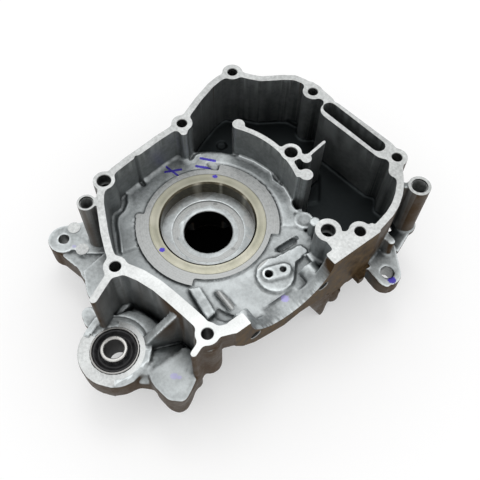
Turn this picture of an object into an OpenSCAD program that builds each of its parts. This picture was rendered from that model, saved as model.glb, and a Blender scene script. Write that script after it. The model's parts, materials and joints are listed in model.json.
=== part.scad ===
// Crankcase half of a small single-cylinder engine.
// A die-cast aluminium shell with a cast-in steel bearing ring and a bonded rubber hanger bush.
// Origin: crank axis at the shoulder of the bearing seat. +Z runs along the crank to the parting face,
// +X along the cylinder to the barrel face, +Y across the engine.

/* [Bearing seat] */
// Bore of the steel ring that takes the crank bearing
seat_d = 62; // [58:0.5:66]
// Wall of the steel ring
ring_wall = 7.5; // [6:0.5:8.5]
// Depth of the bearing seat, from its shoulder to the face of the ring
seat_depth = 11; // [9:0.5:14]
// Chamfer at the mouth of the seat
seat_chamfer = 1.1; // [0.5:0.1:1.5]
// Depth of the locking groove round the steel ring
ring_groove = 1.5; // [1:0.1:2]
// Diameter inside which the shoulder is relieved
relief_d = 48; // [44:0.5:54]
// Bore for the crank behind the seat
crank_bore_d = 32.6; // [28:0.2:38]
// Width of the machined boss round the steel ring
boss_w = 8.5; // [6:0.5:9.5]
// Width of the boss where it steps in beside the pads
boss_step_w = 3.25; // [2:0.25:4.5]

/* [Chambers] */
// Height of the parting face above the bearing shoulder
face_z = 38; // [34:0.5:44]
// Thickness of the chamber walls
wall_t = 4.6; // [3.6:0.2:6]
// Thickness of the floors
floor_t = 4; // [3:0.5:6]
// Height of the crank chamber floor
crank_floor_z = 9.6; // [8:0.2:10.4]
// Height of the oil chamber floor
oil_floor_z = -7; // [-10:0.5:-4]
// Radius of the crank chamber
chamber_r = 59; // [56:0.5:61]
// Thickness of the curved baffle between the chambers
baffle_t = 3.5; // [3:0.5:5]
// Fillet between walls and bosses
wall_fillet = 3; // [1:0.5:4]
// Height of the cast pads above the crank chamber floor
pad_h = 0.9; // [0.6:0.1:1.2]

/* [Case bolts] */
// Hole for the case bolts
bolt_d = 6.8; // [6.4:0.1:7.4]
// Outer diameter of the bolt bosses
bolt_boss_d = 14; // [13:0.5:16]
// Hole for the hollow locating dowels
dowel_d = 8.8; // [8:0.1:9.5]
// Depth of the wider dowel hole
dowel_depth = 9; // [6:0.5:12]

/* [Barrel face] */
// Distance of the barrel face from the crank axis
deck_x = 81.5; // [79:0.5:85]
// Bore that takes the skirt of the barrel
spigot_d = 62; // [58:0.5:64]
// Offset of the cylinder from the crank axis
cylinder_y = 2.75; // [0:0.25:4]
// Lower edge of the barrel face
deck_low_z = -5; // [-8:0.5:-2]
// Pitch of the cylinder studs across the cylinder
stud_pitch_y = 53; // [51:0.5:56]
// Pitch of the cylinder studs along the crank
stud_pitch_z = 49; // [48:0.5:54]
// Tapping drill of the studs
stud_d = 6.8; // [6:0.2:7.2]
// Depth of the stud holes
stud_depth = 13; // [10:1:18]

/* [Hanger bush] */
// Place of the hanger bush across the barrel direction
bush_x = 34.5; // [33:0.5:36]
// Place of the hanger bush below the crank
bush_y = -94.4; // [-96:0.2:-93]
// Outer diameter of the outer steel sleeve
bush_d = 30; // [28:0.5:32]
// Wall of the outer steel sleeve
bush_sleeve_t = 1.2; // [1:0.1:1.6]
// Length of the outer steel sleeve
bush_len = 18; // [16:0.5:20]
// Outer diameter of the inner sleeve
core_d = 16.4; // [15:0.2:18]
// Bore of the inner sleeve
core_bore_d = 12.2; // [10.2:0.1:12.4]
// Length of the inner sleeve
core_len = 24; // [22:0.5:28]
// Outer diameter of the cast boss round the bush
hanger_d = 45; // [40:0.5:48]
// Height of the cast face round the bush
hanger_z = 0; // [-2:0.5:2]

/* [Outer side] */
// Height of the outer cover face below the bearing shoulder
cover_z = 46; // [42:0.5:50]
// Radius of the outer cover wall
cover_r = 58; // [54:0.5:60]
// Number of cover screws
cover_screws = 6; // [4:1:8]
// Tapping drill of the cover screws
cover_tap_d = 5; // [4.2:0.1:5.2]
// Outer diameter of the seal hub
hub_d = 48; // [44:0.5:52]
// Height of the seal hub below the bearing shoulder
hub_z = 21; // [16:0.5:24]
// Number of stiffening ribs round the seal hub
hub_ribs = 8; // [5:1:10]
// Thickness of the ribs
rib_t = 3; // [2.4:0.2:4]

/* [Hidden] */
$fn = 48;
over = 1;

// Places of the case bolts and dowels on the parting face
bolt_h2 = [-59, 22];
bolt_h3 = [-76.2, 76.8];
bolt_h4 = [-28.7, 110.7];
bolt_h5 = [46.7, 118.2];
bolt_h6 = [73.8, 61];
bolt_h8 = [6.2, -70];
bolt_h9 = [72, -51.3];
dowel_h1 = [-49.8, -43.7];
dowel_h7 = [61.7, 46];
baffle_bolt = [2.8, 65.3];
case_bolts = [bolt_h2, bolt_h3, bolt_h4, bolt_h5, bolt_h6, bolt_h8, bolt_h9];
case_dowels = [dowel_h1, dowel_h7];
dowel_boss_d = 16.3;

// Places of the outer ears and posts
post_1 = [-42.8, -60.8];
post_1_d = 11.7;
post_1_bore = 8.3;
post_1_low = -10;
post_2 = [71.3, 114.7];
post_2_d = 14.7;
post_2_bore = 10;
post_2_low = -8;
post_2_foot_d = 18;
post_2_foot_t = 4;
post_top = 37;
ear_1 = [-58, -79.5];
ear_1_z = -10;
ear_1_t = 20;
ear_1_bore = 7;
ear_2 = [93.3, 77.6];
ear_2_z = -5;
ear_2_t = 13;
ear_2_bore = 8.4;
ear_r = 9.6;
block_z = 0;
block_low = -34;

ring_d = seat_d + 2 * ring_wall;
boss_d = ring_d + 2 * boss_w;
boss_step_d = ring_d + 2 * boss_step_w;
pad_z = crank_floor_z + pad_h;
bush_at = [bush_x, bush_y];
deck_half = spigot_d / 2;
spigot_len = 12;
deck_top_y = cylinder_y + deck_half;
deck_end_y = cylinder_y - deck_half;
flange_mid = deck_x - 3.2;
crank_skin_z = crank_floor_z - floor_t - 1.6;
oil_skin_z = oil_floor_z - floor_t;
cup_d = ring_d + 9;
cup_low = -6;
relief_depth = 1;
hole_low = -32;
stud_y = stud_pitch_y / 2;
stud_z = stud_pitch_z / 2;

// Middle line of the chamber wall, from the barrel face round to the barrel face again
wall_line = [
    [flange_mid, deck_top_y + 5], [flange_mid, 70], [76.9, 77.5], [75.4, 84.5], [72.6, 91.8],
    [68.4, 98.8], [63.2, 105.2], [57.2, 110.4], [bolt_h5[0], bolt_h5[1] - 3.6], [37, 116], [-9, 110.5],
    [-16, 114.2], [-33, 113.2], [-40, 111.6], [-46, 108.8], [-51, 102.5], [-55.5, 95],
    [-59.5, 88.8], [-65, 84.2], [-71, 80], bolt_h3, [-76.8, 66], [-75, 57], [-69.7, 43],
    [-63.5, 30], bolt_h2, [-58.8, 14], [-58, 2], [-56.5, -9], [-55, -22], [-53, -34],
    dowel_h1, [-41.5, -51.3], [-36, -54.6], [-26.7, -58.8], [-16.7, -63.2], [-5, -67.4],
    bolt_h8
];
// Middle line of the wider wall beside the hanger
lower_wall = [
    bolt_h8, [12.5, -65.4], [20, -61.2], [31, -57.2], [42, -54.8], [55, -52.3], [64, -50.8],
    bolt_h9
];
// Middle line of the short wall from the last bolt to the barrel face
mouth_wall = [bolt_h9, [75.5, -44], [flange_mid, -37], [flange_mid, deck_end_y - 2.2]];
mouth_wall_low = 18;
// Corner of the crank chamber floor beside the mouth
floor_corner = [[64, -50.8], [69, -40], [75, deck_end_y], [flange_mid, deck_end_y + 1]];
lower_wall_t = wall_t + 3;
// Thick block with the breather slot at the top of the case
slot_a = [-8, 110.2];
slot_b = [37, 115.6];
slot_block_t = 15.6;
slot_w = 9.6;
slot_depth = 30;
slot_end_a = [-10.5, 110.4];
slot_end_b = [32.5, 114.8];

// Lip round the cast pads on the left of the bearing ring, and the groove between the pads
pad_lip = [
    [-48.4, 28], [-49.3, 25.3], [-47, 21.1], [-47.7, 17.3], [-55.3, 14.2], [-56.1, 8.8], [-52, -16.8],
    [-51.5, -25.9], [-49, -30.6], [-43.4, -33.8], [-39.4, -39], [-38.1, -44.5], [-33.9, -47.8],
    [-25.8, -51.4], [-14.3, -57]
];
pad_groove = [[-53, -17.4], [-50.5, -17.2]];
// Wavy lip between the crank chamber floor and the baffle
baffle_lip = [
    [-30.8, 48.9], [-20.5, 54.1], [-13.9, 56], [-7.3, 57.8], [-0.8, 55.2], [8.8, 57.1], [17.5, 55.3],
    [23.2, 52.3], [28.3, 52.4], [28.8, 55.6]
];
// Low step, ledge and thin rib inside the oil chamber
oil_step = [[-2, 91], [7, 93], [24, 78], [20, 70], [4, 80]];
corner_ledge = [[-46, 107], [-34, 111.5]];
corner_rib = [[-50.5, 105.5], [-48, 103.2]];
lip_w = 1.3;
lip_h = 0.8;
edge_groove = 1.4;
boss_wide = [[42, 134], [226, 312]];
// Raised forms on the crank chamber floor
gallery = [56.5, 11.2];
gallery_r = 12;
gallery_arm = [[46.5, 18], [47.8, 24.5], [49.2, 37.5], [56, 39.3], [57.7, 27], [66, 18]];
step_block = [[57.6, 35], [59, 41], [68.7, 42], [70, 34]];
wide_ridge = [[32.7, -38.5], [36, -31.8], [55.9, -34.1], [56.8, -41.5]];
low_ridge = [[43.5, -26.7], [45.2, -23.3], [57.8, -22], [58.6, -26.4]];
low_ridge_lip = [[44.2, -26.6], [45.6, -23.7], [57.6, -22.5]];
dark_pocket = [[52, -31], [58.1, -28.4], [66, -23.5], [63.5, -32], [58, -36]];
tear_groove = [[43.6, 26], [44, 36.6]];
small_ring = [36.4, 51.7];

// Flange arm that reaches from the lower bolt toward the hanger
arm_tip = [17, -91];
arm_t = 4.4;

function on_arc(r, a) = [r * cos(a), r * sin(a)];
function arc_line(r, from, to, n) = [for (i = [0 : n]) on_arc(r, from + (to - from) * i / n)];
function heading(p, q) = atan2(q[1] - p[1], q[0] - p[0]);
function half_turn(at, r, from) = [for (a = [0 : 15 : 180]) at + on_arc(r, from + a)];

// Extrudes the profile between two heights
module between(low, high) {
    translate([0, 0, low]) linear_extrude(high - low) children();
}

// A flat bar with round ends
module bar(p, q, w) {
    along = heading(p, q);
    polygon(concat(half_turn(p, w / 2, along + 90), half_turn(q, w / 2, along - 90)));
}

// Bars joined end to end along a line of points
module chain(points, w) {
    for (i = [0 : len(points) - 2]) bar(points[i], points[i + 1], w);
}

// A true round pin or hole between two heights
module pin(at, d, low, high) {
    translate([at[0], at[1], low]) cylinder(d = d, h = high - low);
}

// Fills the inner corners of a profile with fillets
module filleted(r) {
    offset(r = -r, $fn = 24) offset(delta = r) children();
}

// Rounds the outer corners of a profile
module rounded(r) {
    offset(r = r, $fn = 24) offset(delta = -r) children();
}

// Sector of the plane seen from the crank axis
module sector(from, to, r = 200) {
    polygon(concat([[0, 0]], arc_line(r, from, to, 6)));
}

module ring_2d(outer_r, inner_r) {
    difference() {
        circle(r = outer_r, $fn = 96);
        circle(r = inner_r, $fn = 96);
    }
}

// Everything inside the middle line of the wall
module case_area() {
    polygon(concat(wall_line, [for (i = [0 : len(lower_wall) - 2]) lower_wall[i]], floor_corner));
}

// Plan of the walls and bosses at the parting face
module flange_plan(with_mouth = true) {
    filleted(wall_fillet) {
        chain(wall_line, wall_t);
        chain(lower_wall, lower_wall_t);
        if (with_mouth) chain(mouth_wall, lower_wall_t - 1.2);
        bar(slot_a, slot_b, slot_block_t);
        bar([-34, 113.4], [-16, 114.4], wall_t + 2);
        bar(bolt_h4, [-30, 113.6], wall_t + 2);
        for (at = case_bolts) translate(at) circle(d = bolt_boss_d, $fn = 36);
        translate(dowel_h1) circle(d = bolt_boss_d, $fn = 36);
        bar(bolt_h5, [bolt_h5[0] + 8, bolt_h5[1] - 9], 9);
        bar(bolt_h2, [-52, 18.6], 5);
        bar(bolt_h6, [flange_mid, bolt_h6[1]], bolt_boss_d);
        bar([66, 46], [flange_mid, 45], 12);
        bar([flange_mid - 1, deck_top_y + 9], [flange_mid, deck_top_y + 5], 6.4);
        bar(bolt_h8, arm_tip, arm_t);
        bar(bolt_h9, [77, -64], 3.6);
    }
}

// The oil chamber lies outside the crank chamber, above the level of the second bolt
module oil_plan() {
    difference() {
        intersection() {
            case_area();
            union() {
                translate([-100, 20]) square([134, 110]);
                translate([30, 47]) square([60, 80]);
            }
        }
        circle(r = chamber_r, $fn = 96);
    }
}

// Walls, floors and the step between the two chambers
module shell() {
    between(mouth_wall_low, face_z) flange_plan();
    between(oil_skin_z, mouth_wall_low + over) flange_plan(with_mouth = false);
    between(oil_skin_z, oil_floor_z) filleted(1) {
        oil_plan();
        intersection() {
            case_area();
            ring_2d(chamber_r + over, chamber_r - wall_t);
        }
    }
    between(oil_skin_z, crank_skin_z + over) intersection() {
        case_area();
        ring_2d(chamber_r, chamber_r - wall_t);
    }
    between(oil_skin_z, oil_floor_z + 0.9) rounded(2) polygon(oil_step);
    between(oil_skin_z, oil_floor_z + 3) bar(corner_ledge[0], corner_ledge[1], 3);
    between(oil_skin_z, face_z - 2) bar(corner_rib[0], corner_rib[1], 2);
    between(crank_skin_z, crank_floor_z) difference() {
        case_area();
        oil_plan();
    }
}

// Curved wall that keeps the oil away from the crank web
module baffle() {
    baffle_r = chamber_r + baffle_t;
    end_a = on_arc(chamber_r + 4.2, 124.8);
    end_b = [22.3, 61.8];
    between(oil_skin_z, face_z) {
        filleted(1.5) {
            intersection() {
                ring_2d(baffle_r, chamber_r);
                sector(70, 124.8);
            }
            translate(end_a) circle(d = 8.4);
            translate(end_b) circle(d = 8.8);
            translate(baffle_bolt) circle(d = bolt_boss_d, $fn = 36);
        }
        translate([12.6, 70]) circle(d = 7);
        bar([12.6, 70], baffle_bolt, 2.4);
        bar([11.6, 72], [9.2, 88.3], 2);
    }
}

// Machined boss round the steel ring, stepped in beside the pads
module ring_boss() {
    between(cup_low, seat_depth) {
        circle(d = boss_step_d, $fn = 96);
        for (a = boss_wide) intersection() {
            circle(d = boss_d, $fn = 96);
            sector(a[0], a[1], boss_d);
        }
    }
}

// Cast pads beside the bearing ring, with their lips
module floor_pads() {
    between(crank_skin_z, pad_z) {
        polygon(concat(pad_lip, [[-10, -40], [-30, -28], [-40, 0], [-32, 26]]));
        intersection() {
            ring_2d(chamber_r - 1.5, boss_d / 2 + 1.7);
            sector(50, 150);
        }
    }
    between(crank_skin_z, pad_z + lip_h) {
        chain(pad_lip, lip_w);
        chain(baffle_lip, lip_w);
        translate(small_ring) circle(r = 6.6);
    }
}

// Blocks, ridges and the oil gallery boss on the crank chamber floor
module floor_blocks() {
    low = crank_skin_z;
    between(low, pad_z + 1.2) {
        translate(gallery) circle(r = gallery_r, $fn = 60);
        rounded(2) polygon(gallery_arm);
    }
    between(low, pad_z + 2.8) bar(gallery + [1.2, 6.2], gallery + [-2.2, -3.2], 9.5);
    between(low, pad_z + 4) polygon(step_block);
    between(low, pad_z + 3.4) polygon(wide_ridge);
    between(low, pad_z + 1.2) polygon(low_ridge);
    between(low, pad_z + 2.6) chain(low_ridge_lip, lip_w);
    pin(dowel_h7, dowel_boss_d, oil_skin_z, face_z);
    pin([46.5, 50.5], 7, oil_skin_z, 24);
    for (at = [bolt_h3, bolt_h4]) pin(at, bolt_boss_d, oil_skin_z, face_z);
    pin(baffle_bolt, bolt_boss_d, oil_skin_z, face_z);
}

// Plate that carries the barrel
module deck_plate() {
    plate_t = 8;
    corner_y = deck_end_y - 10;
    translate([deck_x - plate_t, 0, 0]) rotate([90, 0, 90]) linear_extrude(plate_t)
        polygon([
            [corner_y, face_z], [corner_y, mouth_wall_low], [-33, crank_floor_z], [-24, deck_low_z + 7],
            [-16, deck_low_z + 4], [0, deck_low_z - 1], [12, deck_low_z + 2], [38, deck_low_z - 1],
            [59, oil_skin_z], [71, oil_skin_z], [71, face_z]
        ]);
    for (s = [-1, 1]) translate([deck_x - stud_depth - 3, cylinder_y + s * stud_y, face_z - stud_z])
        rotate([0, 90, 0]) cylinder(d = stud_d + 5.2, h = stud_depth + 3);
}

// Cover wall, screw bosses and seal hub on the outer side
module outer_side() {
    between(-cover_z, crank_skin_z + over) ring_2d(cover_r, cover_r - wall_t);
    for (i = [0 : cover_screws - 1])
        pin(on_arc(cover_r, 360 * i / cover_screws + 15), cover_tap_d + 7, -cover_z, oil_floor_z);
    between(cup_low, crank_skin_z + over) circle(d = cup_d, $fn = 96);
    between(-hub_z, crank_skin_z) circle(d = hub_d, $fn = 96);
    between(-hub_z + 6, crank_skin_z + over) for (i = [0 : hub_ribs - 1]) {
        a = 360 * i / hub_ribs + 8;
        bar(on_arc(hub_d / 2 - 2, a), on_arc(cover_r - 2, a), rib_t);
    }
}

// Posts and ears cast on the outside of the walls
module ears() {
    pin(post_1, post_1_d, post_1_low, post_top);
    between(post_1_low, post_top - 5) bar(post_1, [-37, -54], 4.5);
    pin(post_2, post_2_d, post_2_low, post_top);
    between(post_2_low, post_top - 1) bar(post_2, [64, 107.5], 4.5);
    pin(post_2, post_2_foot_d, post_2_low - post_2_foot_t, post_2_low);
    between(post_2_low - post_2_foot_t, post_2_low) polygon([post_2, [78, 118], [86, 96], [70, 90]]);
    between(post_2_low - 6, 10) bar([74, 88], [82, 88], 5);
    between(ear_1_z - 4, ear_1_z) {
        translate(ear_1) circle(r = ear_r + 1);
        polygon([[-67, -74], [-61.5, -60], [-54, -46], [-38, -52], [-28, -58], [-40, -74], [-63, -88]]);
    }
    between(ear_1_z - ear_1_t, ear_1_z - 3) filleted(2) {
        translate(ear_1) circle(r = ear_r + 1);
        polygon([[-67, -74], [-61.5, -60], [-54, -46], [-20, -56], [-24, -84], [-35, -83], [-59, -89]]);
    }
    between(ear_2_z - ear_2_t, ear_2_z) filleted(3) {
        translate(ear_2) circle(r = ear_r);
        polygon([[70, 96], [82, 96], [98, 85.8], [91, 68.4], [80, 69], [70, 60]]);
    }
    between(ear_2_z - ear_2_t - 10, ear_2_z) polygon([[66, 92], [80, 90], [82, 70], [66, 67]]);
    pin([76, 47.5], 11, -32, deck_low_z + over);
    translate([76, 0, 0]) rotate([90, 0, 90]) linear_extrude(rib_t + 1)
        polygon([[20, deck_low_z + over], [44, deck_low_z + over], [40.5, -44], [38, -46]]);
}

// Ear that holds the rubber hanger bush, with its ribs up to the flange
module hanger() {
    web_low = hanger_z - 18;
    between(web_low, hanger_z) filleted(3) {
        translate(bush_at) circle(d = hanger_d, $fn = 72);
        polygon([[16, -84], [18, -73], [22.7, -68.5], [29, -66], [39, -63.5], [43, -78]]);
        polygon([[34, -116], [49, -111.5], [53.5, -108], [56.8, -102], [58, -95], [56, -91], [40, -90]]);
    }
    between(web_low, hanger_z - 9)
        polygon([
            [-4, -64], [10, -60], [64, -50], [64, -62], [66, -86], [62.3, -89.4], [57.9, -93.7], [50, -96],
            [16, -98], [5, -84]
        ]);
    between(web_low - 8, hanger_z - 4) filleted(2) {
        polygon([[-30, -60], [-26, -82], [-11, -88], [8, -90], [10, -64]]);
        bar([4, -94.6], [14, -95.6], 9.6);
        bar([4, -95], [4, -80], 9);
    }
    between(hanger_z - 6, hanger_z - 1) bar([3.8, -94.4], [9, -95.6], 9.4);
    between(hanger_z - 6, hanger_z + 2) bar([12, -92.6], [15.8, -101.2], 4.6);
    between(hanger_z - over, hanger_z + 2.6) difference() {
        polygon([[16, -84], [18.5, -73.8], [22.7, -69.2], [28.9, -66.5], [39, -63.8], [42, -78]]);
        translate(bush_at) circle(r = bush_d / 2 + 6.2, $fn = 72);
    }
    sloping_rib([49.5, -54], [41.4, -77], 5.8, hanger_z - 10, face_z - 2, hanger_z + 3);
    sloping_rib([51.5, -55], [51.5, -88], 14, web_low, hanger_z - 12, hanger_z - 2.5);
    between(web_low, hanger_z - 1) bar([13, -70.5], [16.8, -89.5], 3);
}

// Rib whose top falls from the parting face at p to the hanger face at q
module sloping_rib(p, q, w, base, start, end) {
    run = norm(q - p);
    translate([p[0], p[1], 0]) rotate([0, 0, heading(p, q)]) rotate([90, 0, 0])
        translate([0, 0, -w / 2]) linear_extrude(w)
            polygon([[0, base], [run, base], [run, end], [0, start]]);
}

// Heavy block beside the hanger, under the lower barrel bolt
module corner_block() {
    between(block_z - 14, block_z) rounded(4)
        polygon([[57.5, -57.5], [76, -57], [78.5, -64], [84, -78], [80, -85.6], [66, -88], [58, -86.6]]);
    between(block_low, block_z - 13) rounded(4) polygon([
        [57, -57.5], [74, -57], [76, -65.5], [79.4, -70], [82.6, -76.5], [81.4, -81.8], [76, -85], [61, -87]
    ]);
    pin(bolt_h9, bolt_boss_d + 2, -8, face_z - 8);
}

module casting_body() {
    shell();
    baffle();
    ring_boss();
    floor_pads();
    floor_blocks();
    deck_plate();
    outer_side();
    ears();
    hanger();
    corner_block();
}

// Bearing pocket, crank bore and the windows in the seal hub
module seat_cuts() {
    difference() {
        pin([0, 0], ring_d, 0, face_z + over);
        translate([0, 0, 3]) difference() {
            cylinder(d = ring_d + over, h = 3);
            cylinder(d = ring_d - 2 * ring_groove, h = 3);
        }
    }
    pin([0, 0], relief_d, -relief_depth, over);
    pin([0, 0], crank_bore_d, -hub_z - over, over);
    between(pad_z - 2.2, face_z) bar(pad_groove[0], pad_groove[1], 3.2);
    between(pad_z - edge_groove, seat_depth) for (a = boss_wide) intersection() {
        ring_2d(boss_d / 2 + edge_groove, boss_d / 2);
        sector(a[0], a[1], boss_d);
    }
    between(crank_floor_z - 1.6, face_z) {
        bar(tear_groove[0], tear_groove[1], 4.8);
        polygon(dark_pocket);
    }
    pin(small_ring, 9.4, pad_z, face_z);
    for (a = [74, 220]) rotate([0, 0, a]) translate([10, -9, -hub_z - over]) cube([20, 18, 12]);
}

module bolt_holes() {
    for (at = case_bolts) pin(at, bolt_d, hole_low, face_z + over);
    for (at = case_dowels) {
        pin(at, bolt_d, hole_low, face_z);
        pin(at, dowel_d, face_z - dowel_depth, face_z + over);
    }
    pin(baffle_bolt, 8.4, 12, face_z + over);
    pin(post_1, post_1_bore, ear_1_z - ear_1_t - over, post_top + over);
    pin(post_2, post_2_bore, post_2_low - 4, post_top + over);
    pin(ear_1, ear_1_bore, ear_1_z - ear_1_t - over, ear_1_z + over);
    pin(ear_2, ear_2_bore, ear_2_z - ear_2_t - over, ear_2_z + over);
    pin(bush_at, bush_d, hanger_z - 18 - over, hanger_z + 4);
    pin(gallery + [0.6, 5.8], 4, 0, 20);
    pin(gallery + [-2.2, -3.4], 5, 0, 20);
    pin([-57, 53], 7.6, oil_skin_z - over, oil_floor_z + over);
    for (i = [0 : cover_screws - 1])
        pin(on_arc(cover_r, 360 * i / cover_screws + 15), cover_tap_d, -cover_z - over, -cover_z + 14);
}

module barrel_cuts() {
    translate([deck_x - spigot_len, cylinder_y, face_z]) rotate([0, 90, 0])
        cylinder(d = spigot_d, h = spigot_len + over, $fn = 96);
    for (s = [-1, 1])
        translate([deck_x - stud_depth, cylinder_y + s * stud_y, face_z - stud_z])
            rotate([0, 90, 0]) cylinder(d = stud_d, h = stud_depth + over);
}

module breather_slot() {
    between(face_z - slot_depth, face_z + over) bar(slot_end_a, slot_end_b, slot_w);
}

module crankcase_casting() {
    color("silver") difference() {
        casting_body();
        seat_cuts();
        bolt_holes();
        barrel_cuts();
        breather_slot();
    }
}

// Steel ring cast into the crankcase
module bearing_insert() {
    color([0.78, 0.76, 0.66]) difference() {
        pin([0, 0], ring_d, 0, seat_depth);
        pin([0, 0], seat_d, -over, seat_depth + over);
        translate([0, 0, seat_depth - seat_chamfer])
            cylinder(d1 = seat_d, d2 = seat_d + 2 * seat_chamfer + 0.2, h = seat_chamfer + 0.1);
        translate([0, 0, 3]) difference() {
            cylinder(d = ring_d + over, h = 3);
            cylinder(d = ring_d - 2 * ring_groove, h = 3);
        }
    }
}

// Outer steel sleeve of the hanger bush
module bush_outer_sleeve() {
    color([0.55, 0.56, 0.57]) difference() {
        pin(bush_at, bush_d, hanger_z - bush_len, hanger_z + 0.6);
        pin(bush_at, bush_d - 2 * bush_sleeve_t, hanger_z - bush_len - over, hanger_z + 2);
    }
}

// Rubber bonded between the two sleeves
module bush_rubber() {
    color([0.07, 0.07, 0.07]) difference() {
        pin(bush_at, bush_d - 2 * bush_sleeve_t, hanger_z - bush_len + 1, hanger_z - 0.6);
        pin(bush_at, core_d, hanger_z - bush_len, hanger_z + 1);
    }
}

// Inner sleeve that takes the hanger bolt
module bush_inner_sleeve() {
    color([0.75, 0.75, 0.75]) difference() {
        pin(bush_at, core_d, hanger_z + 3 - core_len, hanger_z + 3);
        pin(bush_at, core_bore_d, hanger_z + 2 - core_len, hanger_z + 4);
    }
}

crankcase_casting();
bearing_insert();
bush_outer_sleeve();
bush_rubber();
bush_inner_sleeve();
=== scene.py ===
"""Crankcase half: the machined casting, its steel bearing ring and its rubber hanger bush, in a plain studio."""

import json
import math
import bmesh
import bpy
from mathutils import Euler, Matrix, Vector
from mathutils.bvhtree import BVHTree


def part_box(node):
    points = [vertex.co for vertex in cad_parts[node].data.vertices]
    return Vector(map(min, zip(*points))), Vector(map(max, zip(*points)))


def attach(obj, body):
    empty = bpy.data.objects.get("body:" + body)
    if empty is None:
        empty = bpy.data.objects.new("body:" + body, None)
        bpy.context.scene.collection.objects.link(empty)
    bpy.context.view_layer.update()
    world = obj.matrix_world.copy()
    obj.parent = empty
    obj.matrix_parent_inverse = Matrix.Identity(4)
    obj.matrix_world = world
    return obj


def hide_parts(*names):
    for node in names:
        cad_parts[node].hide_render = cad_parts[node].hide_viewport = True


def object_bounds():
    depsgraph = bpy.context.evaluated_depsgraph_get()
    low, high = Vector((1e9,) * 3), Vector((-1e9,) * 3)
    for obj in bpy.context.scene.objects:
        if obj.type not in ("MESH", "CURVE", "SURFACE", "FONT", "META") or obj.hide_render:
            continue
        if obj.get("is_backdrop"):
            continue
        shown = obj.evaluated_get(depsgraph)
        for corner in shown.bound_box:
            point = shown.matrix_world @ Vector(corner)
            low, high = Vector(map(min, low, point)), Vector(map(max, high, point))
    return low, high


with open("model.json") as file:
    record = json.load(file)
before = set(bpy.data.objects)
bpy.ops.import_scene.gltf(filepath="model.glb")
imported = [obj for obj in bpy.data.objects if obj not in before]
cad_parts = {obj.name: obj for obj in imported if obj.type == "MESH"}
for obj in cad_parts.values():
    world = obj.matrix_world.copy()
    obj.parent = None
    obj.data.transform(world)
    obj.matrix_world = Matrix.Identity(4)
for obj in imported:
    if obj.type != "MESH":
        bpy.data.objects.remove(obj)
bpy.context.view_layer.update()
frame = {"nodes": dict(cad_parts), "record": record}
MOUNTS = {mount["name"]: mount for mount in frame["record"]["mounts"]}

bl_info = {
    "name": "Crankcase half",
    "version": (1, 0, 0),
    "blender": (4, 5, 0),
    "location": "View3D > Sidebar > Crankcase",
    "description": "Machines the casting, turns its steel ring and moulds its hanger bush",
    "category": "Object",
}

MM = 0.001
CASTING = "crankcase_casting"
INSERT = "bearing_insert"
PARTING_Z = MOUNTS["parting_face"]["pos_m"][2]
BARREL_X = MOUNTS["barrel_face"]["pos_m"][0]
COVER_Z = MOUNTS["cover_face"]["pos_m"][2]
BUSH_AT = MOUNTS["hanger_bolt"]["pos_m"]
SEAT_R = MOUNTS["bearing_seat"]["dims"]["r_mm"] * MM
INSERT_LOW, INSERT_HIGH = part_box(INSERT)
INSERT_R = INSERT_HIGH.x
INSERT_TOP = INSERT_HIGH.z
POST_TOP = 37 * MM
THREAD_PITCH = 1.25 * MM
# Middles of the bright ejector pin marks on the left ear, in millimetres
PIN_MARKS = [(-61.5, -69.5, -10.0), (-43.5, -73.5, -10.0)]
HANGER_Y = -66 * MM
OIL_Y = 30 * MM
OIL_Z = 10 * MM
OIL_HOLE = Vector((-57 * MM, 53 * MM, 0))
# Blends between the hanger, its rib and the thick corner block, in millimetres
FILLS = [
    [(46, -79, -4), (51, -88, -2.5), (58.5, -87, -0.5), (60, -63, -0.5), (55, -58, -5), (49, -60, -10)],
    [(52, -93, -8), (57.6, -94.5, -8), (62, -89.6, -7), (60, -84, -4), (52, -86, -6)],
]
# Middle, length and width of the long hollow beside the gallery
HOLLOW = Vector((44.2, 31.2, 11.2)) * MM


class CastingSettings(bpy.types.PropertyGroup):
    """Skin and machining of the casting"""

    grid: bpy.props.FloatProperty(
        name="Skin grid", description="Spacing of the rough casting's surface grid",
        default=0.78 * MM, min=0.4 * MM, max=2 * MM, subtype="DISTANCE", unit="LENGTH")
    rounding: bpy.props.IntProperty(
        name="Rounding", description="Smoothing passes that give the cast corners their radius",
        default=4, min=0, max=20)
    stock: bpy.props.FloatProperty(
        name="Stock", description="Metal left on a face for the cutter to take off",
        default=2 * MM, min=1 * MM, max=4 * MM, subtype="DISTANCE", unit="LENGTH")
    chamfer: bpy.props.FloatProperty(
        name="Hole chamfer", description="Chamfer at the mouth of each hole",
        default=0.35 * MM, min=0, max=1 * MM, subtype="DISTANCE", unit="LENGTH")
    triangles: bpy.props.IntProperty(
        name="Triangles", description="Most triangles that the rough casting keeps",
        default=158000, min=20000, max=190000)
    skin: bpy.props.FloatVectorProperty(
        name="Cast skin", description="Colour of the cast surface", size=3,
        default=(0.405, 0.43, 0.435), min=0, max=1, subtype="COLOR")
    # Painted shade: the colour that deep pockets of the cast skin are darkened toward.
    pocket_shade: bpy.props.FloatVectorProperty(
        name="Deep skin", description="Colour of the cast surface in deep pockets", size=3,
        default=(0.036, 0.042, 0.044), min=0, max=1, subtype="COLOR")
    # Painted reflection: the warm brown of a table below, laid on the outer sides.
    warm_reflection: bpy.props.FloatVectorProperty(
        name="Stain", description="Warm film on the outer sides", size=3,
        default=(0.050, 0.029, 0.013), min=0, max=1, subtype="COLOR")
    cut: bpy.props.FloatVectorProperty(
        name="Machined face", description="Colour of a face left by the cutter", size=3,
        default=(0.56, 0.575, 0.57), min=0, max=1, subtype="COLOR")


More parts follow.
